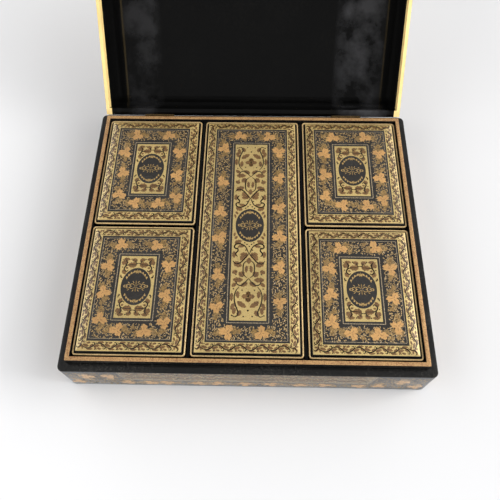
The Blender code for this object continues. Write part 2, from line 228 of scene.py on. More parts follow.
def finished(name, group, given, bump, settings):
    """A material that takes its colour, roughness and fine relief from a node group."""
    material, tree, shader = new_material(name)
    effect = add(tree, "ShaderNodeGroup", given, node_tree=group)
    relief = add(tree, "ShaderNodeBump", {"Height": effect.outputs["Height"], "Strength": bump, "Distance": MM})
    for socket, value in settings.items():
        shader.inputs[socket].default_value = value
    connect(tree, ((effect.outputs["Color"], shader.inputs["Base Color"]),
                   (effect.outputs["Roughness"], shader.inputs["Roughness"]),
                   (relief.outputs["Normal"], shader.inputs["Normal"])))
    return material


def gold(name, fresh, rubbed, wear=0.3, metallic=0.35, bump=0.06, coat=None):
    """Gold powder or leaf: partly metallic, with rubbed specks and a fine tooth, and varnish over it or none."""
    given = {"Fresh": paint(*fresh), "Rubbed": paint(*rubbed), "Wear": wear}
    return finished(name, RUBBED_GOLD, given, bump, {"Metallic": metallic, **(coat or {})})


def lacquer(name, film, amount=0.10, haze=0.14, gloss=1.38):
    """Black japanning: a dark film, a little dust, and a gloss that is slightly hazed."""
    given = {"Film": paint(*film), "Dust": paint(*DUST), "Amount": amount, "Haze": haze}
    return finished(name, DUSTY_FILM, given, WAVINESS, {"IOR": gloss})


CASE_BLACK = lacquer("case lacquer", film=(16, 16, 16), amount=0.22, haze=0.20, gloss=1.6)
LID_BLACK = lacquer("lid lacquer", film=(4, 4, 4), amount=0.02, haze=0.07)
PANEL_BLACK = lacquer("panel lacquer", film=(46, 44, 42), amount=0.10, haze=0.30)
INNER_BLACK = lacquer("inner lacquer", film=(8, 8, 8), amount=0.03, haze=0.25)


def scuffed(material):
    """Grey scuffs inside the lid near its right end and fainter ones near the left: broad noise, let through only
    in the two stretches. The new colour goes between the film and the shader."""
    tree = material.node_tree
    shader = tree.nodes["Principled BSDF"]
    film = shader.inputs["Base Color"].links[0].from_socket
    place = object_place(tree)
    across = add(tree, "ShaderNodeSeparateXYZ", {0: place}).outputs["X"]
    cover = rescaled(tree, noise(tree, place, 24.0, 5.0, 0.6), 0.42, 0.62, 0.0, 1.0)
    bands = []
    for start, end, strength in SCUFFS:
        reach = (end - start) / 2
        away = reckoned(tree, "ABSOLUTE", reckoned(tree, "SUBTRACT", across, (start + end) / 2))
        bands.append(rescaled(tree, away, reach, reach * 0.6, 0.0, strength))
    amount = reckoned(tree, "MULTIPLY", reckoned(tree, "ADD", *bands), cover)
    tree.links.new(blended(tree, amount, film, paint(*SCUFF_GREY)), shader.inputs["Base Color"])


scuffed(LID_BLACK)
BEAD_GOLD = gold("bead gilding", (212, 182, 130), (120, 84, 44), wear=0.28, metallic=0.4)
LIP_GOLD = gold("lip gilding", (188, 150, 100), (128, 84, 54), wear=0.34, metallic=0.3)
RIM_GOLD = gold("lid rim gilding", (244, 212, 140), (150, 108, 60), wear=0.20, metallic=0.1)
PALE_GOLD = gold("pale gold ground", (204, 178, 116), (140, 112, 64), wear=0.26, metallic=0.5, coat=VARNISH)
ROPE_GOLD = gold("rope gilding", (176, 158, 128), (96, 78, 54), wear=0.26, coat=VARNISH)
SCROLL_BROWN = gold("scroll bronze", (124, 90, 48), (80, 56, 28), wear=0.34, metallic=0.15, coat=VARNISH)
LEAF_ORANGE = gold("vine leaf gold", (190, 146, 88), (142, 102, 56), wear=0.28, metallic=0.2, coat=VARNISH)
SHADE_BROWN = gold("shade leaf bronze", (146, 114, 62), (84, 66, 38), wear=0.36, metallic=0.2, coat=VARNISH)
TENDRIL_GOLD = gold("tendril gold", (172, 140, 82), (100, 80, 46), wear=0.24, metallic=0.2, coat=VARNISH)
CARTOUCHE_GOLD = gold("cartouche gold", (168, 148, 100), (90, 72, 44), wear=0.40, coat=VARNISH)
INK = lacquer("ink", film=(26, 21, 14), amount=0.04, haze=0.35)
print(len(bpy.data.materials), "materials so far")

# %% [markdown]
# ## Turning arrays into pieces
# Every new shape is a grid of points worked out at once with numpy. A helper lists the four-cornered faces
# between the rows and columns of a grid, and another joins such parts into one mesh object. Each piece then
# moves with the body it is given, and the solids it takes the place of are hidden.

# %% Mesh helpers
SMOOTH_BELOW = math.radians(40)


def grid_faces(rows, columns, wrap_rows=False, wrap_columns=False):
    """Corner numbers of the faces between neighbouring rows and columns. Wrapping joins the last to the first.
    A face points to the side given by the direction along the columns' numbers crossed with the rows'."""
    row = np.arange(rows if wrap_rows else rows - 1)[:, None]
    column = np.arange(columns if wrap_columns else columns - 1)[None, :]
    next_row, next_column = (row + 1) % rows, (column + 1) % columns
    corners = (row * columns + column, row * columns + next_column,
               next_row * columns + next_column, next_row * columns + column)
    return np.stack(corners, axis=-1).reshape(-1, 4)


def closed_faces(forms, rows, columns):
    """Faces of closed forms that follow one another, each a grid whose columns wrap and a face over each end."""
    first = (np.arange(forms) * rows * columns)[:, None]
    sides = (grid_faces(rows, columns, wrap_columns=True)[None] + first[..., None]).reshape(-1, 4)
    ends = np.concatenate([first + np.arange(columns)[::-1], first + columns * (rows - 1) + np.arange(columns)])
    return [sides, ends]


def new_piece(name, parts, material, body):
    """One mesh object from parts in millimetres, each its points and a list of face arrays."""
    starts = np.cumsum([0] + [len(points) for points, _ in parts])
    points = np.concatenate([points for points, _ in parts]) * MM
    faces = [rows + start for (_, shapes), start in zip(parts, starts) for rows in shapes]
    corners = np.concatenate([rows.ravel() for rows in faces])
    sizes = np.concatenate([np.full(len(rows), rows.shape[1]) for rows in faces])
    mesh = bpy.data.meshes.new(name)
    mesh.vertices.add(len(points))
    mesh.vertices.foreach_set("co", points.ravel())
    mesh.loops.add(len(corners))
    mesh.loops.foreach_set("vertex_index", corners)
    mesh.polygons.add(len(sizes))
    mesh.polygons.foreach_set("loop_start", np.cumsum(sizes) - sizes)
    mesh.update(calc_edges=True)
    mesh.validate()
    mesh.shade_smooth()
    mesh.set_sharp_from_angle(angle=SMOOTH_BELOW)
    mesh.materials.append(material)
    piece = bpy.data.objects.new(name, mesh)
    bpy.context.scene.collection.objects.link(piece)
    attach(piece, body)
    return piece


def moved(parts, change):
    """The same parts with their points changed by a function of the points."""
    return [(change(points), faces) for points, faces in parts]


# %% [markdown]
# ## Sweeping a profile round a rectangle
# Boards, lips, beads and borders all run round a rectangle with rounded corners. So one function carries a
# profile round such a path. The profile is given as inset and height: it climbs the outside, crosses the top
# inwards and goes down the inside.

# %% Profiles round a rectangle
CORNER_STEPS = 6
LEAST_CORNER = 0.15


def ring(half_width, half_depth, radius, profile, back=1.0):
    """Rows of points, one row for each (inset, height) of the profile, round a rounded rectangle. At inset d the
    corner radius is the outer one less d, and the corner's centre stays half a side less inset and radius from
    the middle. A back of more than 1 widens the insets of the back side by that factor."""
    inset, height = (column[:, None] for column in np.array(profile, float).T)
    quarter = np.linspace(0, np.pi / 2, CORNER_STEPS + 1)
    angle = np.concatenate([quarter + turn * np.pi / 2 for turn in range(4)])
    side_x = np.repeat([1, -1, -1, 1], CORNER_STEPS + 1)
    side_y = np.repeat([1, 1, -1, -1], CORNER_STEPS + 1)
    curve = np.maximum(radius - inset, LEAST_CORNER)
    inset_y = np.where(side_y > 0, inset * back, inset)
    x = side_x * (half_width - inset - curve) + curve * np.cos(angle)
    y = side_y * (half_depth - inset_y - curve) + curve * np.sin(angle)
    return np.stack([x, y, np.broadcast_to(height, x.shape)], axis=-1)


def closed_ring(*path):
    """A frame whose profile joins up with itself."""
    grid = ring(*path)
    return grid.reshape(-1, 3), [grid_faces(*grid.shape[:2], wrap_rows=True, wrap_columns=True)]


def capped(grid):
    """A plate from rows of points round it, bottom row first, closed by a face over each end."""
    return grid.reshape(-1, 3), closed_faces(1, *grid.shape[:2])


def softened(outline, radius, steps=3):
    """A closed outline with each corner replaced by a Bezier arc that starts and ends at the radius from it."""
    corner = np.array(outline, float)
    before, after = np.roll(corner, 1, axis=0) - corner, np.roll(corner, -1, axis=0) - corner
    radius = np.broadcast_to(np.array(radius, float), len(corner))[:, None]
    start = corner + before / np.linalg.norm(before, axis=1, keepdims=True) * radius
    end = corner + after / np.linalg.norm(after, axis=1, keepdims=True) * radius
    share = np.linspace(0, 1, steps + 1)[:, None, None]
    arcs = (1 - share) ** 2 * start + 2 * share * (1 - share) * corner + share**2 * end
    return arcs.transpose(1, 0, 2).reshape(-1, 2)


# %% [markdown]
# ## The case
# The carcass boards were mitred and then lacquered over, so no joint shows: one swept shell takes the place of
# four boards. The lining inside it stands up as a lip. Only the top of the lip is gilt.

# %% Base shell and lip
def middle(low, high):
    return (low + high) / 2


base_low, base_high = span("base_front_board")
base_half = np.array([span("base_right_board")[1][0], span("base_back_board")[1][1]])
SHELL_INSET = 0.12
BOARD = base_high[1] - base_low[1]
BASE_CORNER = 6.0
HINGE_CLOSER = 0.19
shell_profile = softened(
    [(SHELL_INSET, base_low[2]), (SHELL_INSET, base_high[2]), (BOARD, base_high[2]), (BOARD, base_low[2])],
    (0.4, 0.3, 0.3, 0.3))
shell_ring = moved([closed_ring(*(base_half + (0, HINGE_CLOSER)), BASE_CORNER, shell_profile)],
                   lambda points: points + (0, HINGE_CLOSER, 0))
shell = new_piece("base_case", shell_ring, CASE_BLACK, "base")
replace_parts(shell, "base_front_board", "base_back_board", "base_left_board", "base_right_board")

lip_low, lip_high = span("lip_front")
lip_half = np.array([span("lip_right")[1][0], span("lip_back")[1][1]])
LIP_WALL = lip_high[1] - lip_low[1]
GILT_DEPTH = 0.5
lining_top = lip_high[2] - GILT_DEPTH
lining_profile = [(0, lip_low[2]), (0, lining_top), (LIP_WALL, lining_top), (LIP_WALL, lip_low[2])]
lining = new_piece("lip_lining", [closed_ring(*lip_half, 1.0, softened(lining_profile, 0.1))], CASE_BLACK,
                   "base")
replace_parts(lining, "lip_front", "lip_back", "lip_left", "lip_right")
gilt_profile = [(0, lining_top - 0.1), (0, lip_high[2]), (LIP_WALL, lip_high[2]), (LIP_WALL, lining_top - 0.1)]
new_piece("lip_gilding", [closed_ring(*lip_half, 1.0, softened(gilt_profile, (0.1, 0.35, 0.35, 0.1)))],
          LIP_GOLD, "base")
print("case", np.round(base_half * 2, 1), "mm, lip", np.round(lip_half * 2, 1), "mm")

# %% Lid walls and their gilt rim
wall_low, wall_high = span("lid_front_board", shut=True)
back_low, back_high = span("lid_back_board", shut=True)
panel_low, panel_high = span("lid_top_panel", shut=True)
lid_half = np.array([span("lid_right_board", shut=True)[1][0], (back_high[1] - wall_low[1]) / 2])
lid_middle = middle(back_high[1], wall_low[1])
LID_WALL = wall_high[1] - wall_low[1]
BACK_WIDER = (back_high[1] - back_low[1]) / LID_WALL
LID_CORNER = 3.5
RIM_SKIN = 0.05
GILT_REACH = 10.0
END_GILT = 3.4
TOP_ROUND = 3.0
TOP_LEVEL = panel_high[2] - SHELL_INSET


def on_lid(points):
    """Points drawn round the shut lid's middle, put in place and opened."""
    return opened(points + (0, lid_middle, 0))


wall_foot, wall_top = wall_low[2] + RIM_SKIN, panel_low[2] - RIM_SKIN
wall_profile = softened([(SHELL_INSET, wall_foot), (SHELL_INSET, wall_top), (LID_WALL, wall_top),
                         (LID_WALL, wall_foot)], (0.1, 0.3, 0.3, 0.3))
wall_ring = moved([closed_ring(*(lid_half + (0, HINGE_CLOSER)), LID_CORNER, wall_profile, BACK_WIDER)],
                  lambda points: on_lid(points + (0, HINGE_CLOSER, 0)))
walls = new_piece("lid_case", wall_ring, LID_BLACK, "lid")
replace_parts(walls, "lid_front_board", "lid_back_board", "lid_left_board", "lid_right_board")
quarter = np.linspace(0, np.pi / 2, 7)
plate = np.concatenate([[(0.5, panel_low[2]), (SHELL_INSET, panel_low[2] + 0.5)],
                        np.stack([SHELL_INSET + TOP_ROUND * (1 - np.cos(quarter)),
                                  TOP_LEVEL - TOP_ROUND * (1 - np.sin(quarter))], axis=-1)])
top_panel = new_piece("lid_top", moved([capped(ring(*lid_half, LID_CORNER, plate))], on_lid), LID_BLACK, "lid")
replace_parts(top_panel, "lid_top_panel")


def three_sides(grid, end):
    """The left, front and right of a ring, its two ends cut square at y = end and closed."""
    front = grid[:, 2 * (CORNER_STEPS + 1):]
    ends = front[:, [0, -1]].copy()
    ends[..., 1] = end
    grid = np.concatenate([ends[:, :1], front, ends[:, 1:]], axis=1)
    rows, columns = grid.shape[:2]
    down = np.arange(rows) * columns
    caps = np.stack([down[::-1], down + columns - 1])
    return grid.reshape(-1, 3), [grid_faces(rows, columns, wrap_rows=True), caps]


RIM_INSET = 0.25
END_INSET = 0.3
END_OVERLAP = 0.2
inside, buried = LID_WALL + RIM_SKIN, LID_WALL - 0.1
foot, under, reach = wall_low[2], wall_low[2] + 0.15, wall_low[2] + GILT_REACH
rim_profile = [(RIM_INSET, foot), (RIM_INSET, under), (buried, under), (buried, reach), (inside, reach),
               (inside, foot)]
rim = three_sides(ring(*lid_half, LID_CORNER, rim_profile), back_high[1] - lid_middle - END_INSET)
back_half = (back_high[1] - back_low[1]) / 2 - END_INSET
end_plate = capped(ring(END_GILT / 2, back_half, END_INSET, [(0, under), (0, foot)]))
end_x = lid_half[0] - LID_WALL - END_GILT / 2 + END_OVERLAP
end_y = middle(back_low[1], back_high[1]) - lid_middle
ends = [(end_plate[0] + (side * end_x, end_y, 0), end_plate[1]) for side in (1, -1)]
new_piece("lid_rim_gilding", moved([rim, *ends], on_lid), RIM_GOLD, "lid")
print("lid", np.round(lid_half * 2, 1), "mm, back wall", round(BACK_WIDER, 2), "times the others")

# %% [markdown]
# ## The five inner lids
# Each lid is a black frame with a half-round gilt bead along its outer edge, and a cushioned panel that rises
# gently from its edge. The rise is the first quarter of a sine wave over a narrow margin, the same law as in the
# solid, so ornament can be laid on it by asking for the height at any place.

# %% Frames, beads and cushions
CROWN_RISE = 1.8
CROWN_MARGIN = 12.0
BEAD_WIDTH = 1.6
BEAD_HEIGHT = 1.4
GROOVE_DROP = 0.8
INNER_WALL = 3.2
INNER_CORNER = 3.5
CUSHION_STEPS = 12


def crown(distance):
    """Height above the panel's edge at a distance in from it: the rise times the sine of a quarter turn that
    runs out at the margin."""
    return CROWN_RISE * np.sin(np.pi / 2 * np.clip(distance / CROWN_MARGIN, 0, 1))


class InnerLid:
    """The sizes and place of one inner lid, read from its solids."""

    def __init__(self, box):
        self.box = box
        rim_low, rim_high = span(box + "_lid_rim")
        panel_low, panel_high = span(box + "_lid_panel")
        self.centre = (rim_low + rim_high)[:2] / 2
        self.rim_half = (rim_high - rim_low)[:2] / 2
        self.rim_low, self.rim_top = rim_low[2], rim_high[2]
        self.half = (panel_high - panel_low)[:2] / 2
        self.panel_low, self.edge = panel_low[2], panel_high[2] - CROWN_RISE
        self.body = box + "_lid"

    def lay(self, points):
        """Points (across, along, height above the lacquer) laid on the cushioned panel."""
        distance = (self.half - np.abs(points[..., :2])).min(axis=-1)
        return points + np.stack([np.full(distance.shape, self.centre[0]),
                                  np.full(distance.shape, self.centre[1]),
                                  self.edge + crown(distance)], axis=-1)

    def lift(self, points):
        """Points round the lid's own middle, at their real height, put in place."""
        return points + (*self.centre, 0)


def inner_lid_body(lid):
    """The black frame, the gilt bead and the cushioned panel of one lid."""
    def rim_piece(name, profile, material):
        profile_ring = closed_ring(*lid.rim_half, INNER_CORNER, profile)
        return new_piece(lid.box + name, moved([profile_ring], lid.lift), material, lid.body)

    groove = lid.rim_top - GROOVE_DROP
    frame_profile = [(0.05, lid.rim_low), (0.05, groove), (INNER_WALL, groove), (INNER_WALL, lid.rim_low)]
    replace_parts(rim_piece("_lid_frame", softened(frame_profile, 0.05), INNER_BLACK), lid.box + "_lid_rim")
    foot = lid.rim_top - BEAD_HEIGHT
    bead_profile = softened([(0, foot), (0, lid.rim_top), (BEAD_WIDTH, lid.rim_top), (BEAD_WIDTH, foot)],
                            (0.05, 0.7, 0.7, 0.05), steps=4)
    rim_piece("_lid_bead", bead_profile, BEAD_GOLD)
    inset = np.linspace(0.35, CROWN_MARGIN, CUSHION_STEPS)
    side = [(0.05, lid.panel_low), (0.05, lid.edge - 0.3), (0.12, lid.edge - 0.1)]
    cushion = np.concatenate([side, np.stack([inset, lid.edge + crown(inset)], axis=-1)])
    cushion_piece = new_piece(lid.box + "_lid_cushion",
                              moved([capped(ring(*lid.half, 0.8, cushion))], lid.lift),
                              PANEL_BLACK, lid.body)
    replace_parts(cushion_piece, lid.box + "_lid_panel")


INNER_LIDS = [InnerLid(box) for box in BOXES]
for lid in INNER_LIDS:
    inner_lid_body(lid)
    print(lid.box, "panel", np.round(lid.half * 2, 1), "mm, edge at", round(lid.edge, 2))

# %% [markdown]
# ## Strokes of the brush
# Nearly all the ornament is made of one thing: a stroke that starts somewhere, heads somewhere, bends as it goes
# and swells or tapers. So a motif is a small table with a row for each stroke, in the order the painter would
# think of it: place, heading, length, bend, curl and width. Mirroring, turning and repeating are then sums on
# the table, and one function turns any table into raised strokes.

# %% Raised strokes
STROKE_RISE = 0.09
STROKE_SINK = 0.02
# Sections of a stroke, from its left foot over the top to its right foot: share of half the width, share of the
# rise. A fine line is a ridge, and a bold one has upright sides.
FINE = ((1, 0), (0, 1), (-1, 0))
BOLD = ((1, 0), (1, 0.6), (0, 1), (-1, 0.6), (-1, 0))


def stem(share):
    return 0.4 + 0.6 * np.sin(np.pi * share) ** 0.8


def leaf(share):
    return np.sin(np.pi * share**0.75) ** 0.8


def lobed(share):
    return np.sin(np.pi * share**0.85) ** 0.5 * (0.86 + 0.14 * np.cos(6 * np.pi * share))


def comma(share):
    return np.minimum(1, 0.5 + 6 * share) * (1 - share) ** 0.7


def raised(line, aside, level, rise, section):
    """The section stood across every line. Both arrays hold a row of points for each stroke: the line itself, and
    the way from it to the stroke's left edge."""
    strokes, count = line.shape[:2]
    side, climb = np.array(section, float).T
    plan = line[:, :, None] + aside[:, :, None] * side[:, None]
    height = np.broadcast_to(level + np.where(climb > 0, climb * rise, -STROKE_SINK), plan.shape[:3])
    points = np.concatenate([plan, height[..., None]], axis=-1)
    return points.reshape(-1, 3), closed_faces(strokes, count, len(section))


def ribbons(table, swell, count=9, level=0.0, rise=STROKE_RISE, section=FINE):
    """Raised strokes, a row each: x, y, heading, length, bend, curl, width, in mm and degrees. At share s of the
    way the heading is heading + bend s + curl s cubed, and the line is the running sum of steps that way. Its
    width is the given one times swell(s)."""
    table = np.atleast_2d(np.array(table, float))
    start, (heading, length, bend, curl, width) = table[:, None, :2], table[:, 2:].T[..., None]
    share = np.linspace(0, 1, count)
    between = (share[1:] + share[:-1]) / 2
    ways = [np.radians(heading + bend * s + curl * s**3) for s in (share, between)]
    steps = np.stack([np.cos(ways[1]), np.sin(ways[1])], axis=-1) * length[..., None] / (count - 1)
    line = start + np.concatenate([np.zeros_like(steps[:, :1]), np.cumsum(steps, axis=1)], axis=1)
    aside = np.stack([-np.sin(ways[0]), np.cos(ways[0])], axis=-1) * (width * swell(share) / 2)[..., None]
    return raised(line, aside, level, rise, section)


def traced(paths, width, swell, count=22, level=0.0, rise=STROKE_RISE, section=FINE):
    """Raised strokes through given points. Between two points the line is a Catmull-Rom curve: at share t of the
    way from b to c it is b + t (c - a) / 2 + t squared (2a - 5b + 4c - d) / 2 + t cubed (3b - 3c + d - a) / 2."""
    lines = []
    for path in paths:
        knots = np.concatenate([path[:1], path, path[-1:]])
        at = np.linspace(0, len(path) - 1, count)
        first = np.minimum(at.astype(int), len(path) - 2)
        t = (at - first)[:, None]
        a, b, c, d = (knots[first + step] for step in range(4))
        lines.append(b + (t * (c - a) + t**2 * (2 * a - 5 * b + 4 * c - d) + t**3 * (3 * b - 3 * c + d - a)) / 2)
    line = np.stack(lines)
    way = np.gradient(line, axis=1)
    way /= np.linalg.norm(way, axis=-1, keepdims=True)
    half = width * swell(np.linspace(0, 1, count)) / 2
    aside = np.stack([-way[..., 1], way[..., 0]], axis=-1) * half[:, None]
    return raised(line, aside, level, rise, section)


# %% Mirror, turn and repeat tables of strokes
def mirrored(table, across=True):
    """The strokes mirrored left to right, or else end to end: the heading is reflected and bends change sign."""
    table = np.array(table, float)
    if across:
        table[:, 0] *= -1
        table[:, 2] = 180 - table[:, 2]
    else:
        table[:, 1] *= -1
        table[:, 2] *= -1
    table[:, 4:6] *= -1
    return table


def both_sides(table):
    return np.concatenate([table, mirrored(table)])


def four_ways(table):
    table = both_sides(table)
    return np.concatenate([table, mirrored(table, across=False)])


def pointing(table, bend=0.0):
    """Rows of x, y of the foot, x, y of the tip and width, as strokes."""
    x, y, tip_x, tip_y, width = np.array(table, float).T
    heading = np.degrees(np.arctan2(tip_y - y, tip_x - x)) - bend / 2
    length = np.hypot(tip_x - x, tip_y - y)
    return np.stack([x, y, heading, length, np.full(len(x), bend), np.zeros(len(x)), width], axis=-1)


def mirrored_paths(paths):
    return [np.array(path, float) * side for path in paths for side in ((1, 1), (-1, 1), (1, -1), (-1, -1))]


def repeated(table, places, size=1.0, stretch=1.0):
    """The strokes drawn again at each place (x, y, heading), with their own x along the heading. They are made
    larger by size, and their places along the heading are stretched."""
    table, places = np.array(table, float), np.atleast_2d(np.array(places, float))
    turn = np.radians(places[:, 2])[:, None]
    along, aside = table[:, 0] * size * stretch, table[:, 1] * size
    copies = np.repeat(table[None], len(places), axis=0)
    copies[..., 0] = places[:, :1] + along * np.cos(turn) - aside * np.sin(turn)
    copies[..., 1] = places[:, 1:2] + along * np.sin(turn) + aside * np.cos(turn)
    copies[..., 2] += places[:, 2:3]
    copies[..., [3, 6]] *= size
    return copies.reshape(-1, table.shape[1])


def around(half_width, half_depth, pitch, trim=0.0):
    """Evenly spaced places round a rectangle, anticlockwise: x, y and heading. Each side is shortened by the trim
    at both ends and takes a whole number of steps near the pitch."""
    corners = np.array([(half_width, -half_depth), (half_width, half_depth), (-half_width, half_depth),
                        (-half_width, -half_depth)], float)
    places = []
    for start, end in zip(corners, np.roll(corners, -1, axis=0)):
        way = (end - start) / np.linalg.norm(end - start)
        length = np.linalg.norm(end - start) - 2 * trim
        count = max(round(length / pitch), 1)
        distance = trim + (np.arange(count)[:, None] + 0.5) * length / count
        heading = np.full((count, 1), math.degrees(math.atan2(way[1], way[0])))
        places.append(np.concatenate([start + way * distance, heading], axis=1))
    return np.concatenate(places)


def beads(half_width, half_depth, pitch, width, level=0.0):
    """A string of beads round a rectangle: short strokes, end to end."""
    places = around(half_width, half_depth, pitch)
    return ribbons(repeated([(-0.5 * pitch, 0, 0, 0.96 * pitch, 0, 0, width)], places), leaf, 4, level)


# %% Cushions: leaves, berries and ovals
def cushions(spots, outline, level=0.0, rise=STROKE_RISE, count=36):
    """Low cushions, a row each: x, y, turn and size. The rim stands at outline(angle) times the size from the
    spot, straight up for half the rise, then the top closes in to three quarters of that at the full rise."""
    spots = np.atleast_2d(np.array(spots, float))
    angle = np.linspace(0, 2 * np.pi, count, endpoint=False)
    turned_angle = angle + np.radians(spots[:, 2:3])
    reach = outline(angle) * spots[:, 3:4]
    way = np.stack([np.cos(turned_angle), np.sin(turned_angle)], axis=-1) * reach[..., None]
    level = np.broadcast_to(level, len(spots))[:, None, None]
    flat = np.zeros((*reach.shape, 1))
    rows = [np.concatenate([spots[:, None, :2] + way * share, level + flat + height], axis=-1)
            for share, height in ((1, -STROKE_SINK), (1, rise / 2), (0.75, rise))]
    return np.stack(rows, axis=1).reshape(-1, 3), closed_faces(len(spots), 3, count)


def even(share):
    """The same width or reach all along."""
    return np.ones_like(share)


def vine_outline(angle, random, leaves):
    """Three lobes about a third of a turn apart, a row for each leaf, no two quite alike. A lobe is a circle of
    radius r whose centre lies d from the middle, so its reach at angle a from its own axis is
    d cos a + root(r squared - d squared sin squared a). Blunt teeth run round all of it."""
    off, radius = 0.54, 0.45
    reach = np.full((leaves, len(angle)), 0.34)
    for lobe in range(3):
        axis = lobe * 2 * np.pi / 3 + random.uniform(-0.22, 0.22, (leaves, 1))
        away = (angle - axis + np.pi) % (2 * np.pi) - np.pi
        inside = radius**2 - (off * np.sin(away)) ** 2
        near = (inside > 0) & (np.abs(away) < np.pi / 2)
        lobe_reach = off * np.cos(away) + np.sqrt(np.maximum(inside, 0))
        reach = np.maximum(reach, np.where(near, lobe_reach * random.uniform(0.84, 1.1, (leaves, 1)), 0))
    teeth = 0.09 * np.cos(11 * angle + random.uniform(0, 6, (leaves, 1))) + 0.05 * np.cos(17 * angle)
    return reach * (1 + teeth)


def ivy_outline(angle):
    """Five pointed lobes, for the smaller leaves behind."""
    return 0.70 + 0.17 * np.cos(5 * angle) + 0.05 * np.cos(10 * angle)


def dots(table, level):
    """Berries, a row each: x, y and radius."""
    table = np.atleast_2d(np.array(table, float))
    spots = np.insert(table, 2, 0, axis=1)
    return cushions(spots, even, level, count=8)


def mirrored_dots(table):
    sides = [(side_x, side_y, 1) for side_x in (1, -1) for side_y in (1, -1)]
    return np.concatenate([np.array(table, float) * side for side in sides])


# %% [markdown]
# ## The motifs
# Every lid carries the same four zones. The border is a running scroll that swings from side to side. The band
# inside it is a vine: orange leaves, browner ones behind them, and thin tendrils that fill the black. A beaded
# frame holds the pale centre, where scrolls mirrored four ways surround a dark oval with garlands.

# %% Running scroll of the border
SCROLL_STEP = 11.4
OVER_RISE = 0.14
# Half a period, drawn along x: the stem's points, then leaves as foot, tip and width, then berries.
SCROLL_STEM = ((-8.4, 0.4), (-5.6, -1.6), (-1.6, -2.3), (2.2, -1.0), (4.4, 1.6), (3.6, 3.3), (1.9, 2.7))
SCROLL_LEAVES = ((-7.4, 1.4, -1.0, -0.4, 3.4), (-0.6, -0.9, 3.0, 1.3, 2.6), (-3.8, -3.0, 3.4, -3.2, 2.3),
                 (0.4, 3.2, -3.8, 2.2, 2.5), (4.4, -0.4, 6.6, -3.2, 2.5))
SCROLL_BERRIES = ((-5.8, 3.4, 0.6), (-4.4, 3.5, 0.55), (5.8, 3.3, 0.5), (2.4, 1.4, 0.5), (4.6, -3.5, 0.45))
SCROLL_WIDTH = 1.15
CORNER_TRIM = 4.0
CORNER_LEAVES = ((-2.4, 0, 4.0, 0, 2.6), (-1.6, 0.6, 1.0, 4.2, 2.2), (-1.6, -0.6, 1.0, -4.2, 2.2))
CORNER_STEM = ((-6.5, 3.4), (-3.0, 2.4), (0, 0), (3.4, 1.2), (3.0, 3.0))


def swinging(table, places, size):
    """The motif at every place, mirrored to the other side at every second one."""
    flipped = mirrored(table, across=False)
    return np.concatenate([repeated(table, places[::2], size), repeated(flipped, places[1::2], size)])


def swinging_paths(path, places, size):
    """The same for a path: every copy's points, turned and put in place."""
    copies = []
    for number, (x, y, heading) in enumerate(places):
        turn = math.radians(heading)
        along, aside = np.array(path, float).T * size * np.array([[1], [-1 if number % 2 else 1]])
        copies.append(np.stack([x + along * math.cos(turn) - aside * math.sin(turn),
                                y + along * math.sin(turn) + aside * math.cos(turn)], axis=-1))
    return copies


def scroll_along(places, size, level):
    """Brown leaves and dark strokes of the running scroll, one half period at each place."""
    berries = np.array([(x, y, 0, 0, 0, 0, radius) for x, y, radius in SCROLL_BERRIES])
    leaves = swinging(pointing(SCROLL_LEAVES, 20), places, size)
    veins = leaves * (1, 1, 1, 0.8, 1, 1, 0.22)
    brown = [ribbons(leaves, lobed, 10, level, section=BOLD)]
    stems = swinging_paths(SCROLL_STEM, places, size)
    ink = [traced(stems, SCROLL_WIDTH * size, stem, 20, level, OVER_RISE, BOLD),
           ribbons(veins, comma, 4, level + 0.06),
           dots(swinging(berries, places, size)[:, [0, 1, 6]], level)]
    return brown, ink


def running_scroll(half_width, half_depth, size, level):
    """A scroll that runs round a rectangle's centre line, with a spray of leaves at each corner."""
    places = around(half_width, half_depth, SCROLL_STEP * size, CORNER_TRIM * size)
    brown, ink = scroll_along(places, size, level)
    corners = [(half_width * x, half_depth * y, math.degrees(math.atan2(y, x)))
               for x in (1, -1) for y in (1, -1)]
    brown.append(ribbons(repeated(pointing(CORNER_LEAVES), corners, size), lobed, 8, level, section=BOLD))
    ink.append(traced(swinging_paths(CORNER_STEM, corners, size), size, stem, 14, level, OVER_RISE, BOLD))
    return brown, ink


# %% Vine
VINE_SIZE = 8.1
SHADE_SIZE = 6.0
# The stalks and veins of one leaf, as shares of its size: x, y, heading, length, bend, curl, width.
LEAF_VEINS = ((0.05, 0, 0, 0.6, 0, 0, 0.07), (-0.04, 0.07, 120, 0.5, 0, 0, 0.07),
              (-0.04, -0.07, 240, 0.5, 0, 0, 0.07), (0.2, 0.34, 62, 0.3, 0, 0, 0.08),
              (-0.42, 0.0, 180, 0.3, 0, 0, 0.08), (0.2, -0.34, -62, 0.3, 0, 0, 0.08))
LEAF_TENDRILS = ((0.4, 0.2, 20, 2.3, -70, -280, 0.09), (0.4, -0.3, -25, 2.0, 80, 300, 0.09),
                 (-0.4, 0.3, 155, 2.2, 60, 290, 0.09), (-0.4, -0.3, 205, 2.0, -70, -300, 0.09))
# Leaves behind each leaf: distance from it, turn from the band's own direction, share of the full size.
SHADE_PLACES = ((7.4, 8, 0.9), (7.2, 184, 0.9), (6.4, 70, 0.8), (6.6, 250, 0.8), (11.8, -8, 0.6),
                (12.0, 172, 0.6), (6.8, 128, 0.6), (7.0, -52, 0.6))
CURL_PITCH = 2.05


def between(outer, inner):
    """Says of places whether they lie between two rectangles, and at least a margin away from both."""
    def room(places, margin):
        return (np.abs(places) < outer - margin).all(axis=1) & (np.abs(places) > inner + margin).any(axis=1)
    return room


def headed(degrees):
    """Steps of length one along the given headings."""
    return np.stack([np.cos(np.radians(degrees)), np.sin(np.radians(degrees))], axis=-1)


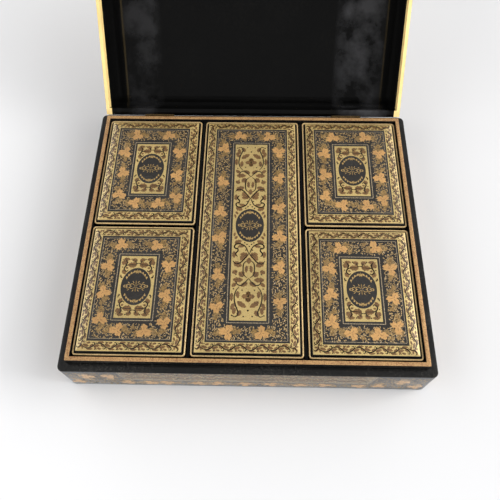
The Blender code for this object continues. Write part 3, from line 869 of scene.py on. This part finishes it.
def vine(spots, low, high, room, size, seed, pitch=CURL_PITCH):
    """Leaves at the given spots, leaves behind them, and tendrils and curls wherever there is room. The curls lie
    on a square grid of places, each pushed aside and turned at random."""
    random = np.random.default_rng(seed)
    spots = np.array(spots, float)
    leaf_spots = np.column_stack([spots, np.full(len(spots), VINE_SIZE * size)])
    on_side = np.abs(spots[:, 0]) / high[0] > np.abs(spots[:, 1]) / high[1]
    along = np.where(on_side, 90.0, 0.0)
    shade = []
    for distance, turn, share in SHADE_PLACES:
        way = headed(along + turn + random.uniform(-16, 16, len(spots)))
        places = spots[:, :2] + distance * size * way
        shade.append(np.column_stack([places, random.uniform(0, 360, len(spots)),
                                      np.full(len(spots), SHADE_SIZE * size * share)]))
    shade = np.concatenate(shade)
    shade = shade[room(shade[:, :2], SHADE_SIZE * size * 0.66)]
    veins = repeated(LEAF_VEINS, spots, VINE_SIZE * size)
    tendrils = repeated(LEAF_TENDRILS, np.column_stack([spots[:, :2], along]), VINE_SIZE * size)
    ends = tendrils[:, :2] + headed(tendrils[:, 2]) * tendrils[:, 3:4] * 0.75
    tendrils = tendrils[room(ends, 2.0 * size)]
    pitch = pitch * size
    lines = (np.arange(start + pitch / 2, stop, pitch) for start, stop in zip(low, high))
    grid = np.stack(np.meshgrid(*lines), axis=-1).reshape(-1, 2)
    grid += random.uniform(-0.35, 0.35, grid.shape) * pitch
    grid = grid[room(grid, 0.45 * pitch)]
    count = len(grid)
    curls = np.column_stack([grid, random.uniform(0, 360, count), random.uniform(1.2, 1.9, count) * pitch,
                             random.choice([-1, 1], count) * random.uniform(120, 260, count),
                             random.uniform(-140, 140, count), np.full(count, 0.62 * size)])
    curls[:, :2] -= 0.3 * curls[:, 3:4] * headed(curls[:, 2])
    leaves = cushions(leaf_spots, lambda angle: vine_outline(angle, random, len(spots)), 0.06, count=48)
    return {"vine": [leaves],
            "shade": [cushions(shade, ivy_outline, random.uniform(0, 0.05, len(shade)), 0.06, 30)],
            "ink": [ribbons(veins, comma, 5, 0.13), ribbons(curls[::6], leaf, 6, 0.06)],
            "tendrils": [ribbons(tendrils, stem, 14, 0.04), ribbons(curls, leaf, 6, 0.02)]}


# %% Centres
# One quarter of each centre, x and y outwards from the middle: stems by their points with a width, leaves and
# petals as foot, tip and width, and berries.
SMALL_STEMS = ((1.4, ((2, 25), (10.5, 24.5), (13, 23.5), (14.5, 21), (14, 18.5), (11.5, 17), (10, 18.5))),
               (1.2, ((0, 26.5), (2.5, 27), (3.5, 30))), (1.3, ((13.5, 24), (12, 27), (14, 31))),
               (1.2, ((17, 13), (17, 11), (16, 9.5))))
SMALL_LEAVES = ((1.5, 25, 10.5, 25, 5.5), (13, 24.5, 14, 32.5, 4.5), (16, 31.5, 9.5, 31, 3), (1.5, 29, 6, 32, 4),
                (16, 19, 13, 14, 4), (13, 21.5, 10.5, 20.5, 2), (15.5, 24.5, 17, 29, 2.5))
SMALL_BERRIES = ((16.5, 22, 0.7), (7.5, 31.5, 0.8), (16, 10, 0.9), (6.5, 30, 0.5), (17, 31, 0.5))
LONG_STEMS = ((1.3, ((16, 106), (12.5, 107.5), (10, 103), (13, 94.5), (14.5, 86), (13, 79), (9.5, 74))),
              (1.3, ((0, 64.5), (3.5, 69), (7.5, 72.5), (11.5, 71.5), (13.5, 67.5))),
              (1.3, ((1.5, 64), (5.5, 60), (6, 54.5), (5.5, 47.5), (2, 43.5))),
              (1.4, ((0, 35), (4.5, 41), (8.5, 45.5), (14, 47.5), (17, 44))),
              (1.5, ((12.5, 39), (14.5, 35.5), (12, 31.5), (13.5, 28))),
              (1.6, ((0.5, 35), (4, 27), (9.5, 23.5), (14.5, 24), (16, 27.5), (13.5, 29.5), (11.5, 28))))
LONG_LEAVES = ((11, 90.5, 2.5, 96.5, 4.5), (14, 92.5, 17, 99.5, 3.5), (17, 81, 17, 90, 3),
               (11, 79, 10.5, 86.5, 3.5), (7.5, 100.5, 10, 106.5, 4), (13.5, 97.5, 14.5, 104.5, 3.5),
               (1, 69.5, 7.5, 73.5, 4),
               (12.5, 70, 17, 74, 3.5), (16.5, 66, 6.5, 66, 5), (9.5, 61.5, 5, 57, 4.5), (6, 63, 10, 57.5, 4.5),
               (12, 56, 17, 58.5, 4), (2, 49.5, 2.5, 57.5, 3), (16, 45.5, 8, 50, 5.5), (0, 40, 0, 47, 3.5),
               (2.5, 35.5, 8.5, 43, 5.5), (1, 38, 9, 36, 5), (16, 32.5, 16, 40, 3.5), (5.5, 26, 12, 27, 3),
               (16, 22.5, 9, 19.5, 4.5), (16, 17.5, 13.5, 14, 2.5), (17, 14, 16, 9.5, 2))
LONG_PETALS = ((0.5, 85, 7, 85, 5), (0, 86, 0, 91.5, 5.5), (0, 84.5, 0, 79, 5))
LONG_BERRIES = ((0, 100.5, 1), (0, 85, 1), (6.5, 78, 0.8), (15.5, 76.5, 0.8), (4.5, 107, 0.8), (13.5, 60, 0.8),
                (16.5, 106, 0.8), (3.5, 31, 0.8), (0, 26.5, 0.8), (2.5, 24, 0.8), (5, 22, 0.8))
LEAF_FULLNESS = 1.35
GARLAND_ANGLES = (33, 46, 59, 73)
# One quarter of the flourish in the oval.
FLOURISH = ((0.7, 0.4, 62, 10.0, -110, -200, 0.8), (5.4, 0.4, 58, 8.6, -110, -220, 0.8),
            (9.6, 0.3, 48, 5.6, -100, -220, 0.7), (0.0, 0.8, 90, 5.6, 0, 0, 1.3),
            (2.0, 3.6, 58, 2.8, 0, 0, 0.9), (6.6, 3.2, 40, 2.6, 0, 0, 0.9))
GROUND_TOP = 0.04
GROUND_SINK = -0.03


def garlands(half, level):
    """Two garlands inside the oval, above and below: tufts of leaves on an arc at four fifths of its half sizes,
    mirrored four ways, and a larger tuft in the middle."""
    angle = np.radians(GARLAND_ANGLES)[:, None]
    place = np.concatenate([np.cos(angle) * half[0], np.sin(angle) * half[1]], axis=1) * 0.82
    way = np.degrees(np.arctan2(np.cos(angle) * half[1], -np.sin(angle) * half[0]))
    tufts = [repeated([(0, 0, turn, length, bend, 0, 1.0)], np.concatenate([place, way], axis=1))
             for turn, bend, length in ((60, -30, 1.9), (-40, 30, 1.9), (120, 20, 1.8), (10, 0, 2.2))]
    middle_tuft = [(0, half[1] * 0.72, 90, 4.4, 0, 0, 1.3), (0.3, half[1] * 0.74, 58, 3.4, 0, 0, 1.2),
                   (0.4, half[1] * 0.76, 18, 2.6, 0, 0, 1.1), (0.2, half[1] * 0.76, -50, 2.0, 0, 0, 1.1)]
    return ribbons(four_ways(np.concatenate([*tufts, middle_tuft])), leaf, 6, level)


def centre_panel(medallion, leaves, stems, berries, petals=()):
    """Scrolls mirrored four ways round the dark oval."""
    drawn = four_ways(pointing(leaves, 16)) * (1, 1, 1, 1.08, 1, 1, LEAF_FULLNESS)
    brown = [ribbons(drawn, lobed, 12, GROUND_TOP, section=BOLD)]
    if len(petals):
        flower = four_ways(pointing(petals)) * (1, 1, 1, 1, 1, 1, 1.2)
        brown.append(ribbons(flower, lobed, 8, GROUND_TOP, section=BOLD))
    ink = [traced(mirrored_paths([path]), width, stem, 24, GROUND_TOP, OVER_RISE, BOLD) for width, path in stems]
    ink += [ribbons(drawn * (1, 1, 1, 0.8, 1, 1, 0.13), comma, 5, GROUND_TOP + 0.06),
            dots(mirrored_dots(berries), GROUND_TOP + 0.04)]
    oval = cushions([(0, 0, 0, 1)], lambda angle: oval_reach(angle, medallion), 0.02, 0.08, 64)
    flourish = ribbons(four_ways(FLOURISH), stem, 14, 0.10)
    return {"scrolls": brown, "ink": ink, "oval": [oval], "tendrils": [flourish, garlands(medallion, 0.10)]}


def oval_reach(angle, half):
    """Distance to an oval's edge at an angle: the product of its half sizes over the length of (half depth times
    cosine, half width times sine)."""
    return half[0] * half[1] / np.hypot(half[1] * np.cos(angle), half[0] * np.sin(angle))


# %% Sizes of the zones and places of the leaves
# Half sizes in mm: the pale border's inner edge, the frame's outer edge, the pale centre and the oval. The leaves
# are x, y and turn.
SMALL_LID = {
    "border": (42.8, 59.2), "frame": (23.8, 40.2), "panel": (18.9, 35.2), "medallion": (15.8, 21.2),
    "leaves": ((-20.5, 48.5, 100), (17.5, 49.0, 110), (-32.0, 24.0, 70), (-32.5, -6.5, 105), (-32.5, -36.5, 85),
               (32.5, 24.0, 35), (32.0, -9.5, 60), (33.0, -40.0, 40), (-13.5, -48.0, 57), (14.0, -48.5, 100)),
}
LONG_LID = {
    "border": (42.6, 134.4), "frame": (23.9, 116.2), "panel": (18.9, 111.4), "medallion": (15.6, 21.0),
    "leaves": ((-14.0, 124.5, 100), (20.0, 124.0, 110), (-32.5, 105.0, 70), (-32.5, 58.0, 105), (-32.5, 17.0, 85),
               (-32.5, -16.0, 60), (-32.5, -61.0, 100), (-32.5, -97.0, 40), (33.0, 101.0, 35), (33.0, 63.0, 60),
               (33.0, 23.0, 40), (33.0, -13.0, 90), (33.0, -52.0, 60), (33.0, -92.0, 40), (-20.5, -124.0, 57),
               (14.5, -124.0, 100)),
}
BORDER_EDGE = 0.35
ROPE_PITCH = 1.5
ROPE_WIDTH = 1.25
FINE_PITCH = 1.1
FINE_WIDTH = 0.7
FINE_INSET = 2.1
GROUND_STEPS = 8


def flat_ring(half, outer_inset, inner_inset, low, high):
    """A thin flat frame between two insets from a rectangle, with rows between so that it can follow a curve."""
    insets = np.linspace(outer_inset, inner_inset, GROUND_STEPS)
    top = np.stack([insets, np.full(GROUND_STEPS, high)], axis=-1)
    under = np.stack([insets[::-1], np.full(GROUND_STEPS, low)], axis=-1)
    return closed_ring(*half, 0.5, np.concatenate([top, under]))


def merged(*drawings):
    """Drawings joined, finish by finish."""
    kinds = dict.fromkeys(kind for drawing in drawings for kind in drawing)
    return {kind: [part for drawing in drawings for part in drawing.get(kind, [])] for kind in kinds}


def lid_ornament(half, zones, centre, size, seed, pitch=CURL_PITCH):
    """Everything drawn on one lid, as parts for each finish. Heights are above the lacquer."""
    border, frame_half, panel = (np.array(zones[name], float) for name in ("border", "frame", "panel"))
    ground = [flat_ring(half, BORDER_EDGE * size, half[0] - border[0], GROUND_SINK, GROUND_TOP),
              capped(ring(*panel, 0.3, [(0, GROUND_SINK), (0, GROUND_TOP)]))]
    brown, ink = running_scroll(*((half + border) / 2 - 0.1), size, GROUND_TOP)
    edge = border - FINE_INSET * size
    band = vine(zones["leaves"], -edge, edge, between(edge, frame_half), size, seed, pitch)
    ropes = [beads(*((frame_half + panel) / 2), ROPE_PITCH * size, ROPE_WIDTH * size),
             beads(*edge, FINE_PITCH * size, FINE_WIDTH * size)]
    return merged({"ground": ground, "ropes": ropes, "scrolls": brown, "ink": ink}, band, centre)


FINISHES = {"ground": PALE_GOLD, "ropes": ROPE_GOLD, "scrolls": SCROLL_BROWN, "ink": INK, "vine": LEAF_ORANGE,
            "shade": SHADE_BROWN, "tendrils": TENDRIL_GOLD, "oval": PANEL_BLACK, "cartouches": CARTOUCHE_GOLD}


def dress(name, ornament, body):
    """One piece for each finish of an ornament that is already in place."""
    for kind, parts in ornament.items():
        new_piece(f"{name}_{kind}", parts, FINISHES[kind], body)
    count = sum(len(points) for parts in ornament.values() for points, _ in parts)
    print(name, "has", count, "points of ornament")


def laid(ornament, surface):
    """An ornament put in place by a function of its points."""
    return {kind: moved(parts, surface) for kind, parts in ornament.items()}


# %% Gild the inner lids
small_centre = centre_panel(SMALL_LID["medallion"], SMALL_LEAVES, SMALL_STEMS, SMALL_BERRIES)
long_centre = centre_panel(LONG_LID["medallion"], LONG_LEAVES, LONG_STEMS, LONG_BERRIES, LONG_PETALS)
for number, lid in enumerate(INNER_LIDS):
    is_long = lid.box == "long_box"
    drawing = lid_ornament(lid.half, LONG_LID if is_long else SMALL_LID, long_centre if is_long else small_centre,
                           1.0, number)
    dress(lid.body, laid(drawing, lid.lay), lid.body)

# %% [markdown]
# ## Ornament on the outside
# Each side of the shut box shows one long cartouche with slanted ends, half on the base and half on the lid, and
# vine all round it. A side is drawn flat, across and up, then stood up against its board. The four sides differ
# only in length.

# %% Sides of the case and of the lid
SIDE_SIZE = 0.95
SIDE_SCROLL = 1.2
SIDE_MARGIN = 3.6
SIDE_END = 3.0
CARTOUCHE_DEPTH = 26.0
CARTOUCHE_SLANT = 4.5
CARTOUCHE_SHARE = 0.69
CARTOUCHE_GAP = 1.4
SIDE_LEAVES = ((-166, 32), (-143, 33), (-127, 12), (-103, 11), (-84, 12), (-51, 11), (-31, 12), (-2, 11),
               (26, 12), (57, 11), (82, 12), (119, 11), (139, 13), (160, 31), (178, 12), (-180, 12))


def on_side(side, half, inset):
    """Stands a flat drawing (across, up, out) against the front, right, back or left side, numbered from 0: it is
    put at half a depth or width from the middle and turned by quarter turns."""
    distance = half[1 - side % 2] - inset
    cos, sin = ((1, 0), (0, 1), (-1, 0), (0, -1))[side]

    def place(points):
        across, away = points[..., 0], -(distance + points[..., 2])
        return np.stack([across * cos - away * sin, across * sin + away * cos, points[..., 1]], axis=-1)
    return place


def cartouche_plate(half, depth, slant, low, high):
    """A thin plate whose long edge lies along y = 0 and whose ends slant in as it goes down."""
    corners = np.array([(-half, 0), (-half + slant, -depth), (half - slant, -depth), (half, 0)], float)
    rows = [np.concatenate([corners, np.full((4, 1), height)], axis=1) for height in (low, high)]
    return capped(np.stack(rows))


def side_ornament(half, height, seed):
    """Half a cartouche hanging from the top edge of a side, a scroll on it, and vine on all the rest."""
    reach = half * CARTOUCHE_SHARE
    centre_y = height / 2
    ground = moved([cartouche_plate(reach, CARTOUCHE_DEPTH, CARTOUCHE_SLANT, -0.03, 0.02)],
                   lambda points: points + (0, height - 1.0, 0))
    line_y = height - 1.0 - CARTOUCHE_DEPTH - CARTOUCHE_GAP
    steps = round(2 * (reach - 8) / (SCROLL_STEP * SIDE_SCROLL))
    places = np.column_stack([(np.arange(steps) - (steps - 1) / 2) * SCROLL_STEP * SIDE_SCROLL,
                              np.full(steps, height - 6.5), np.zeros(steps)])
    brown, ink = scroll_along(places, SIDE_SCROLL, 0.0)
    more_brown, more_ink = scroll_along(places + (0, -12.0, 0), SIDE_SCROLL, 0.0)
    slope = CARTOUCHE_SLANT / CARTOUCHE_DEPTH
    lean = math.degrees(math.atan(slope))
    run = reach + CARTOUCHE_GAP
    outline = [(-run, height - 1.2, lean - 90, CARTOUCHE_DEPTH + 1, 0, 0, 0.9),
               (CARTOUCHE_SLANT - run, line_y, 0, 2 * (run - CARTOUCHE_SLANT), 0, 0, 0.9),
               (run, height - 1.2, -90 - lean, CARTOUCHE_DEPTH + 1, 0, 0, 0.9)]

    def room(places, margin):
        y = places[:, 1] + centre_y
        inside = (np.abs(places[:, 0]) < half - SIDE_MARGIN - margin) & (y > SIDE_MARGIN + margin) & (
            y < height - SIDE_MARGIN - margin)
        edge = reach - slope * (height - y) + CARTOUCHE_GAP + 0.6
        return inside & ((np.abs(places[:, 0]) > edge + margin) | (y < line_y - 0.6 - margin))

    spots = np.array([(x * half / base_half[0], y - centre_y, (37 * number) % 120)
                      for number, (x, y) in enumerate(SIDE_LEAVES)], float)
    field = vine(spots, (-half, -centre_y), (half, centre_y), room, SIDE_SIZE, seed, 3.0)
    field = laid(field, lambda points: points * (1, 1, 0.5) + (0, centre_y, 0))
    scrolls = laid({"scrolls": brown + more_brown, "ink": ink + more_ink}, lambda points: points * (1, 1, 0.8))
    return merged({"cartouches": ground, **scrolls, "ropes": [ribbons(outline, even, 3)]}, field)


CASE_HEIGHT = base_high[2]
case_sides = [laid(side_ornament(base_half[side % 2] - SIDE_END, CASE_HEIGHT, 20 + side),
                   on_side(side, base_half, SHELL_INSET)) for side in range(4)]
dress("case", merged(*case_sides), "base")


def upside_down(points):
    """Up and down exchanged and left and right with it, so that the drawing isn't mirrored; the edge that was at
    the top then lies along the lid's lower edge."""
    return points * (-1, -1, 1) + (0, LID_HEIGHT + wall_low[2], 0)


LID_HEIGHT = panel_low[2] - wall_low[2]
lid_sides = [laid(laid(laid(side_ornament(lid_half[side % 2] - SIDE_END, LID_HEIGHT, 30 + side), upside_down),
                       on_side(side, lid_half, SHELL_INSET)), on_lid) for side in range(4)]
dress("lid_sides", merged(*lid_sides), "lid")

# %% Top of the lid
TOP_SIZE = 1.65
TOP_CENTRE_SIZE = 2.2
top_half = lid_half - TOP_ROUND - 0.6
top_zones = {
    "border": top_half - 16.5, "frame": np.array(SMALL_LID["frame"])[::-1] * TOP_CENTRE_SIZE,
    "panel": np.array(SMALL_LID["panel"])[::-1] * TOP_CENTRE_SIZE,
}
rows = [around(*half_sizes, 43.0) for half_sizes in (top_half - 34, top_half - 68)]
top_zones["leaves"] = np.concatenate([np.column_stack([row[:, :2], (np.arange(len(row)) * 37) % 120])
                                      for row in rows])


def quarter_turned(points):
    """The small lids' centre, a quarter turn round and larger."""
    x, y, height = np.moveaxis(points, -1, 0)
    return np.stack([-y * TOP_CENTRE_SIZE, x * TOP_CENTRE_SIZE, height], axis=-1)


top_drawing = lid_ornament(top_half, top_zones, laid(small_centre, quarter_turned), TOP_SIZE, 40, 2.4)
top_flat = laid(top_drawing, lambda points: points * (1, 1, 0.5) + (0, 0, TOP_LEVEL))
dress("lid_top", laid(top_flat, on_lid), "lid")

# %% [markdown]
# ## Finish of the solids that stay
# Floors, walls, liners, partitions and hinges already have their real shape. They only get a finish.

# %% Materials of the kept solids
BARE_WOOD = gold("bare wood", (176, 140, 96), (112, 82, 52), wear=0.34, metallic=0.0, bump=0.2)
BRASS = gold("old brass", (104, 84, 50), (48, 38, 24), wear=0.34, metallic=0.7)
KEPT_FINISHES = (("floor_board", BARE_WOOD), ("_floor", BARE_WOOD), ("_liner", BARE_WOOD),
                 ("_walls", INNER_BLACK), ("partition_", INNER_BLACK),
                 ("hinge_", BRASS))
for name, solid in frame["nodes"].items():
    for part_name, material in KEPT_FINISHES:
        if part_name in name:
            for material_slot in solid.material_slots:
                material_slot.material = material
            break
print("finished the kept solids")

# %% [markdown]
# ## Floor, light and camera
# The box stands on a pale table in a bright room. Most of the light is soft and comes from above, a broad lamp
# stands to the right in front, and the room behind the camera is dim, which is why the lacquer looks black.

# %% Stage and light
FLOOR_HALF = 2.5


def floor_with_painted_shade():
    """Painted shade: a pale floor that darkens towards the lamp on the right, as a plain gradient over x."""
    material, tree, shader = new_material("table top")
    across = add(tree, "ShaderNodeSeparateXYZ", {0: object_place(tree)}).outputs["X"]
    # Painted shade: 233 grey on the left fades to 200 grey on the right, the lamp's side.
    pale = rescaled(tree, across, -0.35, 0.35, 0.0, 1.0)
    shader.inputs["Roughness"].default_value = 0.9
    shader.inputs["Specular IOR Level"].default_value = 0.1
    colour = blended(tree, pale, paint(233, 233, 234), paint(200, 200, 201))
    tree.links.new(colour, shader.inputs["Base Color"])
    return material


floor_mesh = bpy.data.meshes.new("table_top")
floor_corners = [(-1, -1, 0), (1, -1, 0), (1, 1, 0), (-1, 1, 0)]
floor_mesh.from_pydata(np.array(floor_corners) * FLOOR_HALF, [], [(0, 1, 2, 3)])
floor_mesh.materials.append(floor_with_painted_shade())
floor = bpy.data.objects.new("table_top", floor_mesh)
bpy.context.scene.collection.objects.link(floor)


def room_light():
    """A bright room with a dim strip overhead and behind the camera, which is what black lacquer mirrors here, so
    it stays black. How bright a direction is follows its distance r from that strip: the root of x squared and
    (0.75 (1 - z)) squared."""
    world = bpy.data.worlds.new("room")
    bpy.context.scene.world = world
    world.use_nodes = True
    tree = world.node_tree
    direction = add(tree, "ShaderNodeTexCoord").outputs["Generated"]
    parts = add(tree, "ShaderNodeSeparateXYZ", {0: direction}).outputs
    down = reckoned(tree, "SUBTRACT", 1.0, parts["Z"])
    from_strip = add(tree, "ShaderNodeCombineXYZ", {0: parts["X"], 1: down}).outputs[0]
    scaled = add(tree, "ShaderNodeVectorMath", {0: from_strip, 1: (1.0, 0.75, 0.0)}, operation="MULTIPLY")
    distance = add(tree, "ShaderNodeVectorMath", {0: scaled.outputs[0]}, operation="LENGTH").outputs["Value"]
    glow = rescaled(tree, distance, 0.46, 0.74, 0.25, 2.55, interpolation_type="SMOOTHSTEP")
    tree.nodes["Background"].inputs["Color"].default_value = WHITE
    tree.links.new(glow, tree.nodes["Background"].inputs["Strength"])


room_light()


def soft_lamp(name, place, aim, size, power):
    """A square area lamp at a place, turned to shine at a point."""
    lamp = bpy.data.lights.new(name, "AREA")
    lamp.shape = "SQUARE"
    lamp.size = size
    lamp.energy = power
    holder = bpy.data.objects.new(name, lamp)
    holder.location = place
    direction = holder.location - type(holder.location)(aim)
    holder.rotation_euler = direction.to_track_quat("Z", "Y").to_euler()
    bpy.context.scene.collection.objects.link(holder)


soft_lamp("window", (1.25, -0.1, 0.62), (0.0, 0.0, 0.05), 0.8, 17.0)

# %% Camera
# The photograph is 500 pixels wide. The camera's place and turns were worked out from where the solid's corners
# appear in it.
FRAME_PIXELS = 500
FOCAL_PIXELS = 545.3
SENSOR = 36.0
CAMERA_PLACE = (0.01068, -0.30090, 0.58414)
CAMERA_PITCH, CAMERA_ROLL, CAMERA_YAW = (math.radians(turn) for turn in (27.293, -1.079, 2.079))
lens = bpy.data.cameras.new("camera")
lens.sensor_width = SENSOR
lens.lens = FOCAL_PIXELS / FRAME_PIXELS * SENSOR
camera = bpy.data.objects.new("camera", lens)
turn = (Matrix.Rotation(CAMERA_YAW, 4, "Z") @ Matrix.Rotation(CAMERA_PITCH, 4, "X")
        @ Matrix.Rotation(CAMERA_ROLL, 4, "Z"))
camera.matrix_world = Matrix.Translation(CAMERA_PLACE) @ turn
bpy.context.scene.collection.objects.link(camera)
bpy.context.scene.camera = camera
bpy.context.scene.view_settings.view_transform = "Standard"
print("lens", round(lens.lens, 2), "mm")

# %% Update the scene
bpy.context.view_layer.update()
